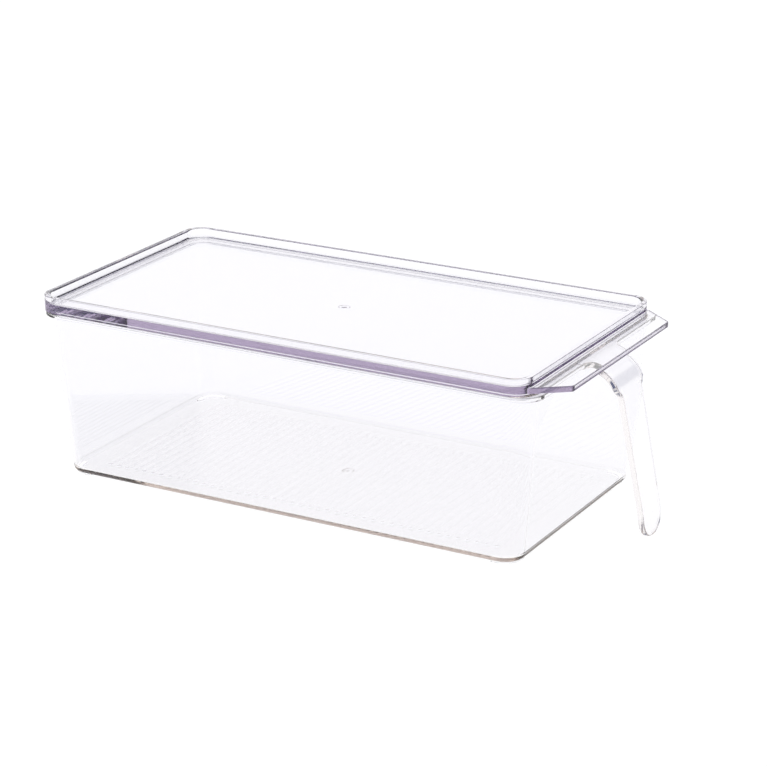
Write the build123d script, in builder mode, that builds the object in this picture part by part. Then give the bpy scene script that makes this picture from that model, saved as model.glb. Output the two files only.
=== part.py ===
from build123d import *
from math import cos, radians, sin
import os

# Clear refrigerator storage bin: an open tub with a moulded pull handle at its front end,
# and a flat lid that drops on from above and is lifted by the ledge over the handle.
# Millimetres. X runs from the back to the handle, Y across the width, Z up from the table.
# The origin is on the table, midway along the overall length and width.

# ---- driving dimensions -------------------------------------------------------------
rim_length = 284.8          # back edge to front edge of the tub's rim
rim_width = 150.0
rim_corner_radius = 12.0
rim_thickness = 2.5
rim_edge_radius = 0.5       # softened edges of both mouldings' outlines
body_height = 89.5          # table to the top of the rim

back_overhang = 1.8         # how far the rim stands out past the wall at its top
side_overhang = 1.8
front_overhang = 3.5
end_draft = 8.1             # how far the end walls lean in between the rim and the base
side_draft = 4.4
wall = 1.5
floor_thickness = 2.2
top_corner_radius = 12.0    # tub's upright corners just under the rim
base_corner_radius = 11.0   # the same corners at the base
base_edge_radius = 2.4      # rounding where the walls turn into the floor, outside
inner_edge_radius = 1.6     # the same, inside

foot_height = 1.3
foot_width = 3.0            # thickness of the curved rib that makes a foot
foot_inset = 1.5            # foot's outer face to the base's outer face
foot_leg = 3.0              # length of the foot along each side, from the base's corner

rib_pitch = 5.3             # grip ribs across the floor
rib_width = 2.4
rib_height = 0.35
rib_margin = 13.0           # smooth border between the ribs and the walls

gate_radius = 3.0           # round gate marks of the two mouldings
gate_depth = 0.4

strap_thickness = 3.2
strap_width = 23.4          # handle's width below its shoulder
strap_tip_width = 22.0
shoulder_width = 30.0       # handle's width over the bend
root_width = 40.0           # handle's width where it leaves the rim
root_fillet = 5.0
bend_radius = 17.5          # outside of the bend
strap_tilt = 11.5           # degrees from vertical
kick_radius = 100.0         # gentle turn back towards vertical near the tip
kick_angle = 10.5
tip_clearance = 1.3         # tip to the table
shoulder_drop = 12.5        # rim's top to the middle of the step from shoulder to strap
shoulder_blend = 5.0        # height over which the step takes place
strap_edge_radius = 0.7     # softened edges of the handle

bead_setback = 5.4          # front of the lid's raised bead to the front of the rim
lid_corner_step = 1.0       # how much tighter the lid's corners are than the rim's
panel_thickness = 3.85
bead_width = 3.2
bead_height = 4.65          # bead's top above the panel
bead_edge_radius = 0.4      # bead's outer top edge
bead_inner_radius = 1.0     # bead's inner top edge
bead_base_radius = 1.2      # where the inside of the bead runs into the panel
tab_length = 16.7           # ledge in front of the bead
tab_thickness = 3.0
tab_corner_reach = 5.0      # how far the ledge's root reaches into the lid's rounded corners
tab_front_inset = 19.0      # ledge's front edge to each side of the lid
tab_corner_radius = 3.0
locating_rib_depth = 2.5
locating_rib_thickness = 1.6
locating_clearance = 0.8    # locating rib to the mouth of the tub, at the rim

# ---- places that follow from them ---------------------------------------------------
tilt = radians(strap_tilt)
tip_tilt = radians(strap_tilt - kick_angle)
kick_drop = kick_radius * (sin(tilt) - sin(tip_tilt))
shank_drop = body_height - bend_radius * (1 - sin(tilt)) - kick_drop - tip_clearance
shank_length = shank_drop / cos(tilt)
handle_reach = (
    bend_radius * cos(tilt) + shank_length * sin(tilt) + kick_radius * (cos(tip_tilt) - cos(tilt))
)
overall_length = rim_length + handle_reach
back_x = -overall_length / 2
rim_front_x = back_x + rim_length
rim_center_x = back_x + rim_length / 2
rim_bottom = body_height - rim_thickness

top_back_x = back_x + back_overhang
top_front_x = rim_front_x - front_overhang
top_width = rim_width - 2 * side_overhang
wall_height = body_height - foot_height
floor_top = foot_height + floor_thickness

shoulder_height = body_height - shoulder_drop

lid_length = rim_length - bead_setback
lid_corner_radius = rim_corner_radius - lid_corner_step
tab_root_width = rim_width - 2 * (lid_corner_radius - tab_corner_reach)
tab_front_width = rim_width - 2 * tab_front_inset
panel_top = body_height + panel_thickness
lid_center_x = back_x + lid_length / 2


def level(height):
    """How far up the wall a height lies, 0 at the base and 1 at the rim."""
    return (height - foot_height) / wall_height


def tub_section(height, inset):
    """Centre, length, width and corner radius of the tub at a height, inset from its outside."""
    lean = 1 - level(height)
    x_low = top_back_x + end_draft * lean + inset
    x_high = top_front_x - end_draft * lean - inset
    width = top_width - 2 * side_draft * lean - 2 * inset
    radius = base_corner_radius + (top_corner_radius - base_corner_radius) * level(height) - inset
    return (x_low + x_high) / 2, x_high - x_low, width, radius


def section_sketch(height, inset):
    """One horizontal section of the tub, as a face."""
    center_x, length, width, radius = tub_section(height, inset)
    with BuildSketch(Plane((center_x, 0, height))) as section:
        RectangleRounded(length, width, radius)
    return section.sketch


# ---- pull handle, moulded with the tub ----------------------------------------------
# Its side view is a strap of even thickness: level at the rim, round the bend, down a
# straight shank that leans out, and a gentle turn back towards vertical at the tip.
with BuildPart() as handle:
    with BuildSketch(Plane.XZ) as side_view:
        with BuildLine():
            root_x = rim_front_x - front_overhang - wall / 2
            root_out = Line((root_x, body_height), (rim_front_x, body_height))
            bend_out = JernArc(root_out @ 1, root_out % 1, bend_radius, strap_tilt - 90)
            shank_out = Line(bend_out @ 1, (bend_out @ 1) + (bend_out % 1) * shank_length)
            kick_out = JernArc(shank_out @ 1, shank_out % 1, kick_radius, -kick_angle)
            underside = body_height - strap_thickness
            root_in = Line((root_x, underside), (rim_front_x, underside))
            bend_in = JernArc(root_in @ 1, root_in % 1, bend_radius - strap_thickness, strap_tilt - 90)
            shank_in = Line(bend_in @ 1, (bend_in @ 1) + (bend_in % 1) * shank_length)
            kick_in = JernArc(shank_in @ 1, shank_in % 1, kick_radius - strap_thickness, -kick_angle)
            Line(root_out @ 0, root_in @ 0)
            Line(kick_out @ 1, kick_in @ 1)
        make_face()
    extrude(amount=root_width / 2, both=True)
    # Seen from the front it narrows at a shoulder below the bend and ends in a round tip.
    with BuildSketch(Plane.YZ) as front_view:
        with BuildLine():
            tip_radius = strap_tip_width / 2
            tip_center = tip_clearance + tip_radius
            step_top = shoulder_height + shoulder_blend / 2
            step_bottom = shoulder_height - shoulder_blend / 2
            tip = CenterArc((0, tip_center), tip_radius, -90, 90)
            shank_edge = Line(tip @ 1, (strap_width / 2, step_bottom))
            step_edge = Spline(
                shank_edge @ 1, (shoulder_width / 2, step_top), tangents=[(0, 1), (0, 1)]
            )
            Polyline(
                step_edge @ 1, (root_width / 2, step_top), (root_width / 2, body_height), (0, body_height)
            )
            mirror(about=Plane.YZ)
        make_face()
    extrude(amount=overall_length, both=True, mode=Mode.INTERSECT)
    # Seen from above its root flares out where it meets the rim.
    with BuildSketch(Plane.XY) as plan_view:
        with BuildLine():
            flare_x = rim_front_x + root_fillet
            root_edge = Line((root_x, 0), (root_x, root_width / 2))
            rim_edge = Line(root_edge @ 1, (rim_front_x, root_width / 2))
            flare = RadiusArc(rim_edge @ 1, (flare_x, shoulder_width / 2), root_fillet)
            Polyline(
                flare @ 1, (flare_x + overall_length, shoulder_width / 2), (flare_x + overall_length, 0)
            )
            mirror(about=Plane.XZ)
        make_face()
    extrude(amount=body_height, mode=Mode.INTERSECT)
    free_edges = handle.edges().filter_by(lambda edge: edge.center().X > flare_x)
    fillet(free_edges, strap_edge_radius)

# ---- tub ----------------------------------------------------------------------------
with BuildPart() as storage_bin:
    add(section_sketch(foot_height, 0))
    add(section_sketch(body_height, 0))
    loft()
    base_face = storage_bin.faces().sort_by(Axis.Z)[0]
    fillet(base_face.edges(), base_edge_radius)
    with BuildSketch(Plane((rim_center_x, 0, rim_bottom))):
        RectangleRounded(rim_length, rim_width, rim_corner_radius)
    rim_plate = extrude(amount=rim_thickness)
    rim_corners = rim_plate.edges().filter_by(Axis.Z, reverse=True)
    fillet(rim_corners, rim_edge_radius)
    add(handle.part)
    add(section_sketch(floor_top, wall))
    add(section_sketch(body_height, wall))
    loft(mode=Mode.SUBTRACT)
    floor_face = storage_bin.faces().filter_by(Axis.Z).group_by(Axis.Z)[1][0]
    fillet(floor_face.edges(), inner_edge_radius)

    # Grip ribs run across the width, inside a smooth border.
    floor_center, floor_length, floor_width, floor_corner = tub_section(floor_top, wall)
    rib_count = int((floor_length - 2 * rib_margin) / rib_pitch)
    with BuildSketch(Plane((floor_center, 0, floor_top - rib_height))):
        with GridLocations(rib_pitch, 0, rib_count, 1):
            SlotOverall(floor_width - 2 * rib_margin, rib_width, rotation=90)
    extrude(amount=2 * rib_height)

    # Each foot is a low rib that follows a corner of the base.
    base_center, base_length, base_width, base_corner = tub_section(foot_height, foot_inset)
    foot_span_x = base_length - 2 * (base_corner_radius + foot_leg)
    foot_span_y = base_width - 2 * (base_corner_radius + foot_leg)
    with BuildSketch(Plane((base_center, 0, 0))):
        RectangleRounded(base_length, base_width, base_corner)
        offset(amount=-foot_width, mode=Mode.SUBTRACT)
        Rectangle(foot_span_x, base_width, mode=Mode.SUBTRACT)
        Rectangle(base_length, foot_span_y, mode=Mode.SUBTRACT)
    extrude(amount=foot_height + floor_thickness / 2)

    # A gate mark lies in the middle of the base, underneath.
    with BuildSketch(Plane((base_center, 0, foot_height))):
        Circle(gate_radius)
    extrude(amount=gate_depth, mode=Mode.SUBTRACT)

# ---- lid ----------------------------------------------------------------------------
with BuildPart() as lid:
    # A ledge stands out of the panel's upper part, over the handle.
    with BuildSketch(Plane((lid_center_x, 0, panel_top - tab_thickness))) as tab_outline:
        with BuildLine():
            tab_root_x = lid_length / 2 - lid_corner_radius
            tab_front_x = lid_length / 2 + tab_length
            Polyline(
                (tab_root_x, -tab_root_width / 2),
                (lid_length / 2, -tab_root_width / 2),
                (tab_front_x, -tab_front_width / 2),
                (tab_front_x, tab_front_width / 2),
                (lid_length / 2, tab_root_width / 2),
                (tab_root_x, tab_root_width / 2),
                close=True,
            )
        make_face()
        tab_corners = tab_outline.vertices().group_by(Axis.X)[-1]
        fillet(tab_corners, tab_corner_radius)
    extrude(amount=tab_thickness)
    # The panel lies flat on the rim, and a bead stands up round it.
    with BuildSketch(Plane((lid_center_x, 0, body_height))):
        RectangleRounded(lid_length, rim_width, lid_corner_radius)
    extrude(amount=panel_thickness)
    tab_edges = lid.edges().filter_by(Axis.Z, reverse=True).filter_by(
        lambda edge: edge.center().X > lid_center_x + lid_length / 2
    )
    fillet(tab_edges, rim_edge_radius)
    with BuildSketch(Plane((lid_center_x, 0, panel_top))):
        RectangleRounded(lid_length, rim_width, lid_corner_radius)
        offset(amount=-bead_width, mode=Mode.SUBTRACT)
    extrude(amount=bead_height)
    panel_faces = lid.faces().filter_by(Axis.Z).group_by(Axis.Z)[-2]
    fillet(panel_faces.sort_by(SortBy.AREA)[-1].edges(), bead_base_radius)
    fillet(lid.faces().sort_by(Axis.Z)[-1].outer_wire().edges(), bead_edge_radius)
    fillet(lid.faces().sort_by(Axis.Z)[-1].inner_wires()[0].edges(), bead_inner_radius)
    # A low locating rib under the panel stands inside the mouth of the tub.
    mouth_center, mouth_length, mouth_width, mouth_corner = tub_section(
        body_height, wall + locating_clearance
    )
    with BuildSketch(Plane((mouth_center, 0, body_height))):
        RectangleRounded(mouth_length, mouth_width, mouth_corner)
        offset(amount=-locating_rib_thickness, mode=Mode.SUBTRACT)
    extrude(amount=-locating_rib_depth)
    # A gate mark lies in the middle of the panel, underneath.
    with BuildSketch(Plane((lid_center_x, 0, body_height))):
        Circle(gate_radius)
    extrude(amount=gate_depth, mode=Mode.SUBTRACT)

# ---- hand the two mouldings over ----------------------------------------------------
storage_bin.part.label = "bin"
lid.part.label = "lid"
os.makedirs("parts", exist_ok=True)
export_step(storage_bin.part, "parts/bin.step")
export_step(lid.part, "parts/lid.step")
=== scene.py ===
import bmesh
import bpy
from math import atan2, cos, hypot, pi, radians, sin, sqrt
from mathutils import Matrix, Vector


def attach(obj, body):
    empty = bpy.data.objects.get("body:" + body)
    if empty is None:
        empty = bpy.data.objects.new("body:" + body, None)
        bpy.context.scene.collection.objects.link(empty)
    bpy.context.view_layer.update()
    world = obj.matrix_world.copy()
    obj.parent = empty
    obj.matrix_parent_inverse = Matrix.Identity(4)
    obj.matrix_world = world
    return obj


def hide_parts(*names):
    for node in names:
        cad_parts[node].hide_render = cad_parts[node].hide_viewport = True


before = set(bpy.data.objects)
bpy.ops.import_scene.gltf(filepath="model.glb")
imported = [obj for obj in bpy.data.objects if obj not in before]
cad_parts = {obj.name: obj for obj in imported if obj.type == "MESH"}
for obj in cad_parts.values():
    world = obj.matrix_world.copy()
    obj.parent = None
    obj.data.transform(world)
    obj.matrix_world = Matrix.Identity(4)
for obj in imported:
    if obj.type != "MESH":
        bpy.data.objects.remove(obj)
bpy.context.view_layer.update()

# Clear refrigerator storage bin: an open tub with a moulded pull handle, and a flat lid.
# Sizes are in millimetres until a mesh is made. X runs from the back to the handle, Z up.
MM = 0.001
scene = bpy.context.scene

# ---- sizes ---------------------------------------------------------------------------
RIM_LENGTH = 284.8
RIM_WIDTH = 150.0
RIM_CORNER = 12.0
RIM_THICK = 2.5
RIM_EDGE = 0.5                       # softened edges of the rim and the ledge
RIM_ROOT = 0.4                       # small hollow where the wall runs into the rim
RIM_ROOT_STEP = 0.12                 # middle of that hollow
BODY = 89.5                          # table to the top of the rim
BACK_OVER = 1.8                      # how far the rim stands out past the wall
SIDE_OVER = 1.8
FRONT_OVER = 3.5
END_DRAFT = 8.1                      # how far the walls lean in towards the base
SIDE_DRAFT = 4.4
WALL = 1.5
WALL_LEVELS = (30.0, 60.0)           # heights of the loops between base and rim
FLOOR_THICK = 2.2
TOP_CORNER = 12.0
BASE_CORNER = 11.0
BASE_EDGE = 2.4
INNER_EDGE = 1.6
MOUTH_EDGE = 0.35

FOOT = 1.3
FOOT_WIDTH = 3.0
FOOT_INSET = 1.5
FOOT_LEG = 3.0                       # straight part past the base's rounded corner
FOOT_EDGE = 0.25
FOOT_BEVEL = 0.08                    # middle of the edge's rounding
FOOT_END = 0.1

RIB_PITCH = 5.3
RIB_WIDTH = 5.0
RIB_HEIGHT = 0.2
RIB_MARGIN = 13.0                    # smooth border between the ribs and the walls
RIB_STEPS = 4                        # facets from a rib's crest to its foot
RIB_END_STEPS = 6

GATE_RADIUS = 3.0
GATE_DEPTH = 0.4
GATE_STEPS = 40
GATE_EDGE = 0.12
GATE_DIMPLE = ((0.45, 1.0), (0.3, 0.55), (0.1, 0.45))    # share of the radius and the depth

STRAP_THICK = 3.2
STRAP_WIDTH = 23.4
STRAP_EDGE = 0.7
TIP_WIDTH = 22.0
TIP_CLEAR = 1.3                      # tip to the table
TIP_X = 157.65                       # how far forward the tip reaches
SHOULDER_WIDTH = 30.0
SHOULDER_DROP = 12.5
SHOULDER_BLEND = 5.0
ROOT_WIDTH = 40.0
ROOT_FILLET = 5.0
BEND = 17.5
TILT = radians(11.5)                 # shank from vertical
KICK = 100.0                         # radius of the gentle turn back near the tip
KICK_ANGLE = radians(10.5)
ROOT_STEPS = 2
BEND_STEPS = 22
SHANK_STEPS = 34
KICK_STEPS = 44

BEAD_SETBACK = 5.4                   # front of the lid's bead to the front of the rim
BEAD_WIDTH = 3.2
BEAD_HEIGHT = 4.65
BEAD_EDGE = 0.25                     # outer top edge
BEAD_INNER = 1.0                     # inner top edge
BEAD_BASE = 1.75                     # hollow where the bead runs into the panel
LID_CORNER = 11.0
SLAB = 3.85
SLAB_EDGE = 0.15
TAB_THICK = 3.0
TAB_LENGTH = 16.7
TAB_ROOT = 138.0
TAB_ROOT_CORNER = 1.5
TAB_FRONT = 112.0
TAB_CORNER = 3.0
TAB_INSIDE = 3.0                     # how far the ledge runs into the panel
LOCATE_DEPTH = 2.5
LOCATE_THICK = 1.6
LOCATE_CLEAR = 0.8                   # locating rib to the mouth of the tub
LOCATE_EDGE = 0.3
LOCATE_ROOT = 0.2
AIR = 0.03                           # half of the film of air between the rim and the lid

CORNER_STEPS = 12                    # facets round an upright corner
TAB_CORNER_STEPS = 8
MERGE = 0.0005                       # points closer than this become one
UNION_MERGE = 2e-6                   # the same after a union, in metres
UNION_SLIVER = 1e-6                  # edges shorter than this go, in metres
SHARP = radians(29)                  # edges that turn further than this stay crisp
FACE_WEIGHT = 80                     # how strongly large faces keep their normals

# ---- places that follow from them ----------------------------------------------------
tip_tilt = TILT - KICK_ANGLE
kick_drop = KICK * (sin(TILT) - sin(tip_tilt))
shank = (BODY - BEND * (1 - sin(TILT)) - kick_drop - TIP_CLEAR) / cos(TILT)
reach = BEND * cos(TILT) + shank * sin(TILT) + KICK * (cos(tip_tilt) - cos(TILT))
back_x = -(RIM_LENGTH + reach) / 2
rim_front_x = back_x + RIM_LENGTH
rim_center_x = back_x + RIM_LENGTH / 2
rim_bottom = BODY - RIM_THICK
lid_length = RIM_LENGTH - BEAD_SETBACK
lid_center_x = back_x + lid_length / 2
lid_front_x = back_x + lid_length
slab_top = BODY + SLAB
bead_top = slab_top + BEAD_HEIGHT
floor_top = FOOT + FLOOR_THICK


def ring(center_x, length, width, radius, z):
    """A rounded rectangle as a loop of points."""
    half_x, half_y = length / 2 - radius, width / 2 - radius
    points = []
    for number, (side_x, side_y) in enumerate(((1, 1), (-1, 1), (-1, -1), (1, -1))):
        for i in range(CORNER_STEPS + 1):
            angle = (number + i / CORNER_STEPS) * pi / 2
            x = center_x + side_x * half_x + radius * cos(angle)
            y = side_y * half_y + radius * sin(angle)
            points.append((x, y, z))
    return points


def tub_ring(z, inset):
    """The tub's section at a height, moved in from its outside."""
    level = (z - FOOT) / (BODY - FOOT)
    lean = 1 - level
    x_low = back_x + BACK_OVER + END_DRAFT * lean + inset
    x_high = rim_front_x - FRONT_OVER - END_DRAFT * lean - inset
    width = RIM_WIDTH - 2 * SIDE_OVER - 2 * SIDE_DRAFT * lean - 2 * inset
    radius = BASE_CORNER + (TOP_CORNER - BASE_CORNER) * level - inset
    return ring((x_low + x_high) / 2, x_high - x_low, width, radius, z)


def rim_ring(z, inset):
    """The rim's outline, moved in."""
    length, width = RIM_LENGTH - 2 * inset, RIM_WIDTH - 2 * inset
    return ring(rim_center_x, length, width, RIM_CORNER - inset, z)


def lid_ring(z, inset):
    """The lid's outline without the ledge, moved in."""
    length, width = lid_length - 2 * inset, RIM_WIDTH - 2 * inset
    return ring(lid_center_x, length, width, LID_CORNER - inset, z)


def mouth_ring(z, inset):
    """The lid's locating rib: it follows the mouth of the tub, with upright sides."""
    return [(x, y, z) for x, y, _ in tub_ring(BODY, WALL + LOCATE_CLEAR + inset)]


def rounding(radius, steps, start, end):
    """(across, along) of an arc about the origin, between two angles in degrees."""
    for i in range(steps + 1):
        angle = radians(start + (end - start) * i / steps)
        yield radius * cos(angle), radius * sin(angle)


def loft(bm, rings):
    """Skins loops of equal length, and returns their vertices."""
    rows = [[bm.verts.new(point) for point in loop] for loop in rings]
    for low, high in zip(rows, rows[1:]):
        for i in range(len(low)):
            j = (i + 1) % len(low)
            bm.faces.new((low[i], low[j], high[j], high[i]))
    return rows


def fill(bm, outer, inner):
    """A flat face between two loops of vertices."""
    edges = []
    for row in (outer, inner):
        for pair in zip(row, row[1:] + row[:1]):
            edges.append(bm.edges.get(pair) or bm.edges.new(pair))
    bmesh.ops.triangle_fill(bm, use_beauty=True, use_dissolve=False, edges=edges)


def gate(bm, outer, center_x, z):
    """A shallow round gate mark, recessed upwards in the flat face inside a loop."""
    profile = [(GATE_RADIUS + GATE_EDGE, 0.0), (GATE_RADIUS, 0.3), (GATE_RADIUS - GATE_EDGE, 1.0)]
    profile += [(GATE_RADIUS * share, depth) for share, depth in GATE_DIMPLE]
    rings = []
    for radius, depth in profile:
        loop = []
        for i in range(GATE_STEPS):
            angle = 2 * pi * i / GATE_STEPS
            point = (center_x + radius * cos(angle), radius * sin(angle), z + GATE_DEPTH * depth)
            loop.append(point)
        rings.append(loop)
    rows = loft(bm, rings)
    bm.faces.new(rows[-1])
    fill(bm, outer, rows[0])


def new_object(name, bm):
    """Turns a mesh in millimetres into an object in metres."""
    bmesh.ops.remove_doubles(bm, verts=bm.verts, dist=MERGE)
    bmesh.ops.recalc_face_normals(bm, faces=bm.faces)
    bmesh.ops.scale(bm, vec=(MM, MM, MM), verts=bm.verts)
    mesh = bpy.data.meshes.new(name)
    bm.to_mesh(mesh)
    bm.free()
    obj = bpy.data.objects.new(name, mesh)
    scene.collection.objects.link(obj)
    return obj


def unite(obj, others):
    """Boolean union, then normals that keep flat faces flat and roundings smooth."""
    for other in others:
        union = obj.modifiers.new("union", "BOOLEAN")
        union.operation, union.solver, union.object = "UNION", "EXACT", other
    bpy.context.view_layer.update()
    evaluated = obj.evaluated_get(bpy.context.evaluated_depsgraph_get())
    mesh = bpy.data.meshes.new_from_object(evaluated)
    obj.modifiers.clear()
    obj.data = mesh
    for other in others:
        bpy.data.objects.remove(other)
    bm = bmesh.new()
    bm.from_mesh(mesh)
    bmesh.ops.remove_doubles(bm, verts=bm.verts, dist=UNION_MERGE)
    bmesh.ops.dissolve_degenerate(bm, edges=bm.edges, dist=UNION_SLIVER)
    bm.to_mesh(mesh)
    bm.free()
    mesh.shade_smooth()
    mesh.set_sharp_from_angle(angle=SHARP)
    normals = obj.modifiers.new("normals", "WEIGHTED_NORMAL")
    normals.keep_sharp = True
    normals.weight = FACE_WEIGHT
    return obj


# ---- tub -----------------------------------------------------------------------------
def build_tub():
    """Skins the tub from the base, up its outside, over the rim and down to the floor."""
    rings = []
    for across, along in rounding(BASE_EDGE, 7, -90, 0):
        rings.append(tub_ring(FOOT + BASE_EDGE + along, BASE_EDGE - across))
    for z in WALL_LEVELS:
        rings.append(tub_ring(z, 0))
    rings.append(tub_ring(rim_bottom - RIM_ROOT, 0))
    rings.append(tub_ring(rim_bottom - RIM_ROOT_STEP, -RIM_ROOT_STEP))
    rings.append(tub_ring(rim_bottom, -RIM_ROOT))
    for across, along in rounding(RIM_EDGE, 4, -90, 0):
        rings.append(rim_ring(rim_bottom + RIM_EDGE + along, RIM_EDGE - across))
    for across, along in rounding(RIM_EDGE, 4, 0, 90):
        rings.append(rim_ring(BODY - AIR - RIM_EDGE + along, RIM_EDGE - across))
    for across, along in rounding(MOUTH_EDGE, 3, 90, 180):
        rings.append(tub_ring(BODY - AIR - MOUTH_EDGE + along, WALL - MOUTH_EDGE - across))
    for z in reversed(WALL_LEVELS):
        rings.append(tub_ring(z, WALL))
    for across, along in rounding(INNER_EDGE, 6, 0, -90):
        rings.append(tub_ring(floor_top + INNER_EDGE + along, WALL + INNER_EDGE - across))
    bm = bmesh.new()
    rows = loft(bm, rings)
    base = rows[0]
    base_x = (base[0].co.x + base[len(base) // 2].co.x) / 2
    gate(bm, base, base_x, FOOT)
    add_ribs(bm, rows[-1])
    return new_object("clear_tub", bm)


def add_ribs(bm, border):
    """Grip ribs across the floor, as one rippled sheet inside a smooth border."""
    xs = [vertex.co.x for vertex in border]
    ys = [vertex.co.y for vertex in border]
    center = (min(xs) + max(xs)) / 2
    length = max(xs) - min(xs) + 2 * INNER_EDGE
    half_y = (max(ys) - min(ys)) / 2 + INNER_EDGE - RIB_MARGIN
    count = int((length - 2 * RIB_MARGIN) / RIB_PITCH)
    stations = []
    for number in range(count):
        crest_x = center + (number - (count - 1) / 2) * RIB_PITCH
        for i in range(-RIB_STEPS, RIB_STEPS + 1):
            part = i / RIB_STEPS
            stations.append((crest_x + part * RIB_WIDTH / 2, (cos(pi * part) + 1) / 2))
    across = []
    for i in range(RIB_END_STEPS + 1):
        part = i / RIB_END_STEPS
        across.append((-half_y + part * RIB_WIDTH / 2, sin(part * pi / 2)))
    across += [(-y, rise) for y, rise in reversed(across)]
    grid = []
    for x, swell in stations:
        line = [bm.verts.new((x, y, floor_top + RIB_HEIGHT * swell * rise)) for y, rise in across]
        grid.append(line)
    for a, b in zip(grid, grid[1:]):
        for i in range(len(across) - 1):
            bm.faces.new((a[i], b[i], b[i + 1], a[i + 1]))
    inner = [line[0] for line in grid] + grid[-1][1:-1]
    inner += [line[-1] for line in reversed(grid)] + grid[0][-2:0:-1]
    fill(bm, border, inner)


def unit(angle):
    return Vector((cos(angle), sin(angle)))


def build_feet():
    """A low rib that follows each corner of the base."""
    loop = tub_ring(FOOT, FOOT_INSET)
    per_corner = len(loop) // 4
    top = FOOT + FLOOR_THICK / 2
    # Each leg's end is rounded: (cut from its length, cut from both its sides).
    ends = ((0.0, FOOT_EDGE), (FOOT_END, FOOT_END), (FOOT_EDGE, 0.0))
    feet = []
    for number in range(4):
        turn = number * pi / 2
        corner = loop[number * per_corner:(number + 1) * per_corner]
        corner = [Vector(point[:2]) for point in corner]
        stations = []
        for cut, trim in ends:
            place = corner[0] + unit(turn - pi / 2) * (FOOT_LEG - cut)
            stations.append((place, unit(turn), trim))
        for i, place in enumerate(corner):
            stations.append((place, unit(turn + i / CORNER_STEPS * pi / 2), 0.0))
        for cut, trim in reversed(ends):
            place = corner[-1] + unit(turn + pi) * (FOOT_LEG - cut)
            stations.append((place, unit(turn + pi / 2), trim))
        sections = []
        for place, facing, trim in stations:
            side = [(trim, top), (trim, FOOT_EDGE)]
            side += [(trim + FOOT_BEVEL, FOOT_BEVEL), (trim + FOOT_EDGE, 0.0)]
            section = side + [(FOOT_WIDTH - depth, z) for depth, z in reversed(side)]
            points = [place - facing * depth for depth, _ in section]
            sections.append([(p.x, p.y, z) for p, (_, z) in zip(points, section)])
        bm = bmesh.new()
        rows = loft(bm, sections)
        bm.faces.new(rows[0])
        bm.faces.new(rows[-1])
        feet.append(new_object(f"foot_{number}", bm))
    return feet


# ---- handle --------------------------------------------------------------------------
def strap_path():
    """Stations along the strap's outer face: x, z and how far the face has turned."""
    top = BODY - AIR
    root_x = rim_front_x - FRONT_OVER - WALL / 2
    path = []
    for i in range(ROOT_STEPS + 1):
        path.append((root_x + (rim_front_x - root_x) * i / ROOT_STEPS, top, 0.0))
    for i in range(1, BEND_STEPS + 1):
        turn = (pi / 2 - TILT) * i / BEND_STEPS
        path.append((rim_front_x + BEND * sin(turn), top - BEND * (1 - cos(turn)), turn))
    x, z, turn = path[-1]
    for i in range(1, SHANK_STEPS + 1):
        run = shank * i / SHANK_STEPS
        path.append((x + run * sin(TILT), z - run * cos(TILT), turn))
    x, z, turn = path[-1]
    for i in range(1, KICK_STEPS + 1):
        lean = TILT - KICK_ANGLE * i / KICK_STEPS
        out, down = cos(lean) - cos(TILT), sin(TILT) - sin(lean)
        path.append((x + KICK * out, z - KICK * down, pi / 2 - lean))
    return path


def half_width(x, z):
    """Half the strap's width at a place on its outer face."""
    tip_radius = TIP_WIDTH / 2
    tip_z = TIP_CLEAR + tip_radius
    step_z = BODY - SHOULDER_DROP
    low, high = STRAP_WIDTH / 2, SHOULDER_WIDTH / 2
    if x < rim_front_x:
        return ROOT_WIDTH / 2
    if x < rim_front_x + ROOT_FILLET:
        left = ROOT_FILLET - (x - rim_front_x)
        return high + ROOT_FILLET - sqrt(ROOT_FILLET ** 2 - left ** 2)
    if z > step_z + SHOULDER_BLEND / 2:
        return high
    if z > step_z - SHOULDER_BLEND / 2:
        t = (z - step_z) / SHOULDER_BLEND + 0.5
        return low + (high - low) * t * t * (3 - 2 * t)
    if z > tip_z:
        share = (z - tip_z) / (step_z - SHOULDER_BLEND / 2 - tip_z)
        return tip_radius + (low - tip_radius) * share
    return sqrt(max(tip_radius ** 2 - (tip_z - z) ** 2, 0.0))


def outline_facings(path, widths):
    """Which way the outline faces, (along, across), with the strap laid out flat."""
    runs = [0.0]
    for (x0, z0, _), (x1, z1, _) in zip(path, path[1:]):
        runs.append(runs[-1] + hypot(x1 - x0, z1 - z0))
    last = len(path) - 1
    facings = []
    for i in range(last):
        before, after = max(i - 1, 0), i + 1
        along, across = runs[after] - runs[before], widths[after] - widths[before]
        size = hypot(along, across)
        facings.append((-across / size, along / size))
    return facings + [(1.0, 0.0)]


def build_handle():
    """A strap bent along its path, its outline rounded on both faces."""
    path = strap_path()
    widths = [half_width(x, z) for x, z, _ in path]
    facings = outline_facings(path, widths)
    profile = []
    for across, along in rounding(STRAP_EDGE, 5, -90, 0):
        profile.append((STRAP_EDGE - across, STRAP_EDGE + along))
    for across, along in rounding(STRAP_EDGE, 5, 0, 90):
        profile.append((STRAP_EDGE - across, STRAP_THICK - STRAP_EDGE + along))
    rings = []
    for inset, up in profile:
        depth = STRAP_THICK - up
        right = []
        for (x, z, turn), width, (along, across) in zip(path, widths, facings):
            back = inset * along
            px = min(x - back * cos(turn) - depth * sin(turn), TIP_X)
            pz = z + back * sin(turn) - depth * cos(turn)
            right.append((px, max(width - inset * across, 0.0), pz))
        rings.append(right + [(x, -y, z) for x, y, z in reversed(right[:-1])])
    bm = bmesh.new()
    rows = loft(bm, rings)
    # The two broad faces, in strips from the right edge to the left.
    for row in (rows[0], rows[-1]):
        last = len(row) - 1
        for i in range(len(row) // 2):
            strip = [row[i], row[i + 1], row[last - 1 - i], row[last - i]]
            if strip[1] is strip[2]:
                del strip[2]
            bm.faces.new(strip)
    return new_object("handle", bm)


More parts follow.
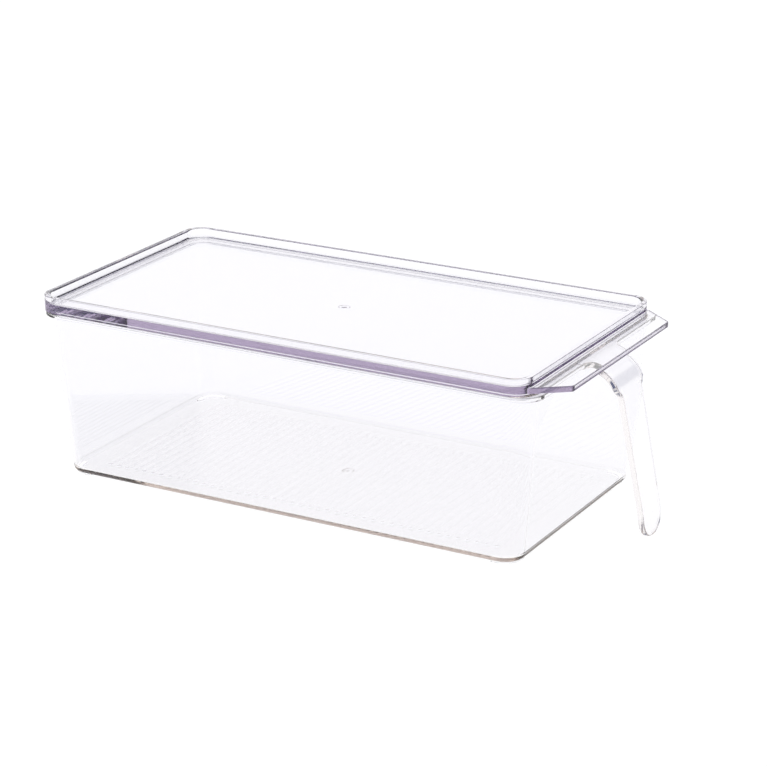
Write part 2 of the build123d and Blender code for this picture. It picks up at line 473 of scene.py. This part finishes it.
# ---- lid -----------------------------------------------------------------------------
def build_lid_slab():
    """Skins the lid from the panel's top, over the bead and round to the underside."""
    rings = []
    for across, along in rounding(BEAD_BASE, 9, -90, -180):
        rings.append(lid_ring(slab_top + BEAD_BASE + along, BEAD_WIDTH + BEAD_BASE + across))
    for across, along in rounding(BEAD_INNER, 6, 180, 90):
        rings.append(lid_ring(bead_top - BEAD_INNER + along, BEAD_WIDTH - BEAD_INNER - across))
    for across, along in rounding(BEAD_EDGE, 4, 90, 0):
        rings.append(lid_ring(bead_top - BEAD_EDGE + along, BEAD_EDGE - across))
    for across, along in rounding(SLAB_EDGE, 3, 0, -90):
        rings.append(lid_ring(BODY + AIR + SLAB_EDGE + along, SLAB_EDGE - across))
    rings.append(mouth_ring(BODY + AIR, -LOCATE_ROOT))
    rings.append(mouth_ring(BODY - LOCATE_ROOT, 0))
    rib_z = BODY - LOCATE_DEPTH + LOCATE_EDGE
    for across, along in rounding(LOCATE_EDGE, 3, 0, -90):
        rings.append(mouth_ring(rib_z + along, LOCATE_EDGE - across))
    for across, along in rounding(LOCATE_EDGE, 3, -90, -180):
        rings.append(mouth_ring(rib_z + along, LOCATE_THICK - LOCATE_EDGE - across))
    rings.append(mouth_ring(BODY - LOCATE_ROOT, LOCATE_THICK))
    rings.append(mouth_ring(BODY, LOCATE_THICK + LOCATE_ROOT))
    bm = bmesh.new()
    rows = loft(bm, rings)
    bm.faces.new(rows[0])
    gate(bm, rows[-1], lid_center_x, BODY)
    return new_object("clear_lid", bm)


def tab_loop(z, inset):
    """The ledge's outline, a polygon with rounded corners, moved in except at its back."""
    root, front = TAB_ROOT / 2, TAB_FRONT / 2
    inside_x, tip_x = lid_front_x - TAB_INSIDE, lid_front_x + TAB_LENGTH
    corners = [
        (inside_x, root, 0.0),
        (inside_x, -root, 0.0),
        (lid_front_x, -root, TAB_ROOT_CORNER),
        (tip_x, -front, TAB_CORNER),
        (tip_x, front, TAB_CORNER),
        (lid_front_x, root, TAB_ROOT_CORNER),
    ]
    lines = []
    for i, corner in enumerate(corners):
        start = Vector(corner[:2])
        heading = (Vector(corners[(i + 1) % len(corners)][:2]) - start).normalized()
        inward = Vector((-heading.y, heading.x))
        lines.append((start + inward * (inset if i else 0.0), heading))
    points = []
    for i, (_, _, radius) in enumerate(corners):
        (p, d), (q, e) = lines[i - 1], lines[i]
        cross = d.x * e.y - d.y * e.x
        corner = p + d * (((q.x - p.x) * e.y - (q.y - p.y) * e.x) / cross)
        if radius == 0:
            points.append((corner.x, corner.y, z))
            continue
        radius -= inset
        angle = atan2(cross, d.dot(e))
        start = corner - d * (radius * abs(sin(angle / 2) / cos(angle / 2)))
        center = start + Vector((-d.y, d.x)) * radius
        spoke = start - center
        for k in range(TAB_CORNER_STEPS + 1):
            turn = angle * k / TAB_CORNER_STEPS
            x = center.x + spoke.x * cos(turn) - spoke.y * sin(turn)
            y = center.y + spoke.x * sin(turn) + spoke.y * cos(turn)
            points.append((x, y, z))
    return points


def build_tab():
    """The ledge in front of the lid."""
    rings = []
    for across, along in rounding(RIM_EDGE, 4, -90, 0):
        rings.append(tab_loop(slab_top - TAB_THICK + RIM_EDGE + along, RIM_EDGE - across))
    for across, along in rounding(RIM_EDGE, 4, 0, 90):
        rings.append(tab_loop(slab_top - RIM_EDGE + along, RIM_EDGE - across))
    bm = bmesh.new()
    rows = loft(bm, rings)
    bm.faces.new(rows[0])
    bm.faces.new(rows[-1])
    return new_object("tab", bm)


# ---- materials -----------------------------------------------------------------------
def clear_plastic(name, face, tint, density):
    """Moulded clear plastic: faint flow waves in the surface, a light haze that varies,
    and a tint that light takes on as it travels through the body."""
    material = bpy.data.materials.new(name)
    material.use_nodes = True
    tree = material.node_tree
    shader, output = tree.nodes["Principled BSDF"], tree.nodes["Material Output"]
    shader.inputs["Base Color"].default_value = (*face, 1)
    shader.inputs["Transmission Weight"].default_value = 1.0
    shader.inputs["IOR"].default_value = 1.57

    def add_node(kind, **values):
        node = tree.nodes.new(kind)
        for socket, value in values.items():
            node.inputs[socket.replace("_", " ")].default_value = value
        return node

    place = add_node("ShaderNodeTexCoord")
    haze = add_node("ShaderNodeTexNoise", Scale=45.0, Detail=3.0)
    rough = add_node("ShaderNodeMapRange", To_Min=0.005, To_Max=0.03)
    wave = add_node("ShaderNodeTexNoise", Scale=18.0, Detail=1.0)
    bump = add_node("ShaderNodeBump", Strength=0.5, Distance=0.00004)
    absorb = add_node("ShaderNodeVolumeAbsorption", Color=(*tint, 1), Density=density)
    link = tree.links.new
    link(place.outputs["Object"], haze.inputs["Vector"])
    link(place.outputs["Object"], wave.inputs["Vector"])
    link(haze.outputs["Fac"], rough.inputs["Value"])
    link(rough.outputs["Result"], shader.inputs["Roughness"])
    link(wave.outputs["Fac"], bump.inputs["Height"])
    link(bump.outputs["Normal"], shader.inputs["Normal"])
    link(absorb.outputs["Volume"], output.inputs["Volume"])
    return material


# ---- studio --------------------------------------------------------------------------
FLOOR_SIZE = 16                      # metres
FLOOR_GREY = (0.25, 0.25, 0.25, 1)
FLOOR_ROUGHNESS = 0.8
FLOOR_GLOW = 0.93                    # its own light, which makes it as pale as the room
WORLD_LIGHT = 1.03
WHITE = (1, 1, 1, 1)
DARK = (0.08, 0.10, 0.20, 1)
FLAG = (0.554, 0.774, 0.307)         # where a small dark flag stands in the white room
FLAG_EDGE = (0.955, 0.985)           # cosines of the angles to it where it starts and is full
WALL_EDGE = (0.50, 0.62)             # the white walls end here, as the Z of a direction
OVERHEAD_EDGE = (0.82, 0.92)         # and the light overhead starts


def make_floor():
    bpy.ops.mesh.primitive_plane_add(size=FLOOR_SIZE, location=(0, 0, 0))
    floor = bpy.context.object
    floor.name = "floor"
    material = bpy.data.materials.new("floor")
    material.use_nodes = True
    shader = material.node_tree.nodes["Principled BSDF"]
    shader.inputs["Base Color"].default_value = FLOOR_GREY
    shader.inputs["Roughness"].default_value = FLOOR_ROUGHNESS
    shader.inputs["Specular IOR Level"].default_value = 0.0
    shader.inputs["Emission Color"].default_value = WHITE
    shader.inputs["Emission Strength"].default_value = FLOOR_GLOW
    floor.data.materials.append(material)


def make_world():
    """A white room with a light overhead, a dark ceiling round it and a dark flag."""
    world = bpy.data.worlds.new("studio")
    scene.world = world
    world.use_nodes = True
    tree = world.node_tree
    link = tree.links.new
    background = tree.nodes["Background"]
    background.inputs["Strength"].default_value = WORLD_LIGHT
    place = tree.nodes.new("ShaderNodeTexCoord")
    toward = tree.nodes.new("ShaderNodeVectorMath")
    toward.operation = "DOT_PRODUCT"
    toward.inputs[1].default_value = FLAG
    split = tree.nodes.new("ShaderNodeSeparateXYZ")
    link(place.outputs["Generated"], toward.inputs[0])
    link(place.outputs["Generated"], split.inputs[0])

    def fade(source, edge, start, end):
        """Light that changes softly between two values of a direction's measure."""
        step = tree.nodes.new("ShaderNodeMapRange")
        step.interpolation_type = "SMOOTHSTEP"
        step.inputs["From Min"].default_value, step.inputs["From Max"].default_value = edge
        step.inputs["To Min"].default_value = start
        step.inputs["To Max"].default_value = end
        link(source, step.inputs["Value"])
        return step.outputs[0]

    def combine(operation, first, second):
        node = tree.nodes.new("ShaderNodeMath")
        node.operation = operation
        link(first, node.inputs[0])
        link(second, node.inputs[1])
        return node.outputs[0]

    flag = fade(toward.outputs["Value"], FLAG_EDGE, 1.0, 0.0)
    walls = fade(split.outputs["Z"], WALL_EDGE, 1.0, 0.0)
    overhead = fade(split.outputs["Z"], OVERHEAD_EDGE, 0.0, 1.0)
    light = combine("MAXIMUM", combine("MULTIPLY", flag, walls), overhead)
    shade = tree.nodes.new("ShaderNodeMix")
    shade.data_type = "RGBA"
    factor, dark, white = shade.inputs[0], shade.inputs[6], shade.inputs[7]
    dark.default_value, white.default_value = DARK, WHITE
    link(light, factor)
    link(shade.outputs[2], background.inputs["Color"])


# ---- camera --------------------------------------------------------------------------
IMAGE = 767                          # pixels
FOCAL = 2640.67                      # pixels
SENSOR = 36.0
CAMERA_PLACE = (0.6304, -1.1175, 0.5052)
YAW, PITCH, ROLL = 0.51022, 0.33831, -0.001484


def make_camera():
    forward = Vector((-sin(YAW) * cos(PITCH), cos(YAW) * cos(PITCH), -sin(PITCH)))
    level = Vector((cos(YAW), sin(YAW), 0))
    upright = level.cross(forward)
    right = cos(ROLL) * level + sin(ROLL) * upright
    up = -sin(ROLL) * level + cos(ROLL) * upright
    data = bpy.data.cameras.new("camera")
    data.sensor_width = SENSOR
    data.lens = FOCAL / IMAGE * SENSOR
    camera = bpy.data.objects.new("camera", data)
    scene.collection.objects.link(camera)
    matrix = Matrix((right, up, -forward)).transposed().to_4x4()
    matrix.translation = Vector(CAMERA_PLACE)
    camera.matrix_world = matrix
    scene.camera = camera


# Light that is caught in the plastic is reflected many times before it leaves at an edge.
BOUNCES = 48
scene.view_settings.view_transform = "Standard"
scene.cycles.max_bounces = BOUNCES
scene.cycles.transmission_bounces = BOUNCES
scene.cycles.glossy_bounces = BOUNCES
scene.cycles.transparent_max_bounces = 16

tub = unite(build_tub(), [build_handle(), *build_feet()])
lid = unite(build_lid_slab(), [build_tab()])
tub_plastic = clear_plastic("clear_tub", (0.965, 0.963, 0.98), (0.86, 0.78, 0.72), 14.0)
lid_plastic = clear_plastic("clear_lid", (0.99, 0.99, 1.0), (0.64, 0.56, 0.70), 16.0)
for piece, node, plastic in ((tub, "bin", tub_plastic), (lid, "lid", lid_plastic)):
    piece.data.materials.clear()
    piece.data.materials.append(plastic)
    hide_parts(node)
    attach(piece, node)
make_floor()
make_world()
make_camera()
